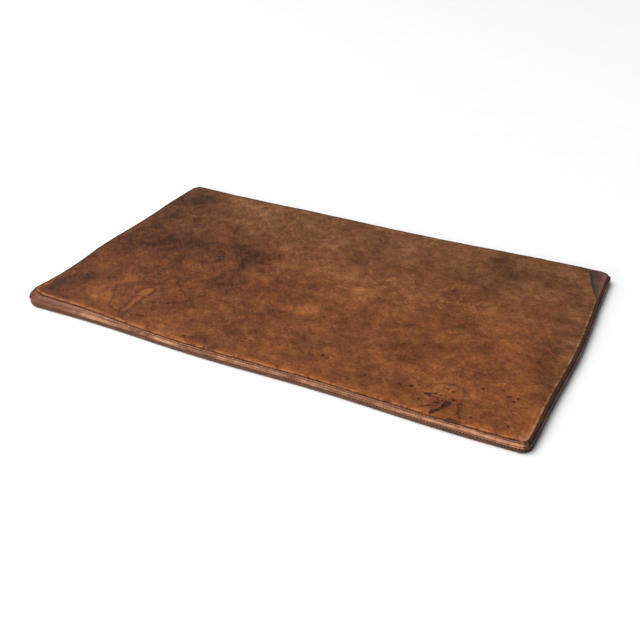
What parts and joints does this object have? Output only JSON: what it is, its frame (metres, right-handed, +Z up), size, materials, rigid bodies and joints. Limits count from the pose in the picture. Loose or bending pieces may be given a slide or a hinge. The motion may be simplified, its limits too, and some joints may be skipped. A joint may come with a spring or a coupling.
{
  "type": "padded leather desk mat",
  "caption": "Worn padded leather desk mat: two stitched hides over a felt core, with rolled leather edge strips.",
  "frame": {"origin": "centre of the underside, on the desk", "axes": "+X along the length, +Y to the back edge, +Z up"},
  "size_m": [0.7998, 0.4828, 0.0142],
  "materials": {
    "top_leather": "worn, waxed full-grain cowhide with stains and scars",
    "bottom_leather": "dark, rubbed leather",
    "strip_leather": "rolled tan leather, polished by use",
    "patch_leather": "thin dark leather with a burnished edge",
    "dark_thread": "waxed linen thread, dark with dirt",
    "pale_thread": "waxed linen thread, faded",
    "felt": "pressed wool felt",
    "cotton_cord": "soft cotton piping cord"
  },
  "bodies": {
    "root": {"top_hide": "top_leather", "bottom_hide": "bottom_leather", "corner_patch": "patch_leather", "felt_upper": "felt", "felt_lower": "felt", "edge_strip_front": "strip_leather", "edge_strip_right": "strip_leather", "edge_strip_back": "strip_leather", "edge_strip_left": "strip_leather", "edge_cord_front": "cotton_cord", "edge_cord_right": "cotton_cord", "edge_cord_back": "cotton_cord", "edge_cord_left": "cotton_cord", "top_seam_thread_front": "dark_thread", "top_seam_thread_right": "dark_thread", "top_seam_thread_back": "dark_thread", "top_seam_thread_left": "dark_thread", "bottom_seam_thread_front": "pale_thread", "bottom_seam_thread_right": "pale_thread", "bottom_seam_thread_back": "pale_thread", "bottom_seam_thread_left": "pale_thread", "corner_thread_front_right": "dark_thread", "corner_thread_back_right": "dark_thread", "corner_thread_back_left": "dark_thread", "corner_thread_front_left": "dark_thread"}
  },
  "joints": []
}
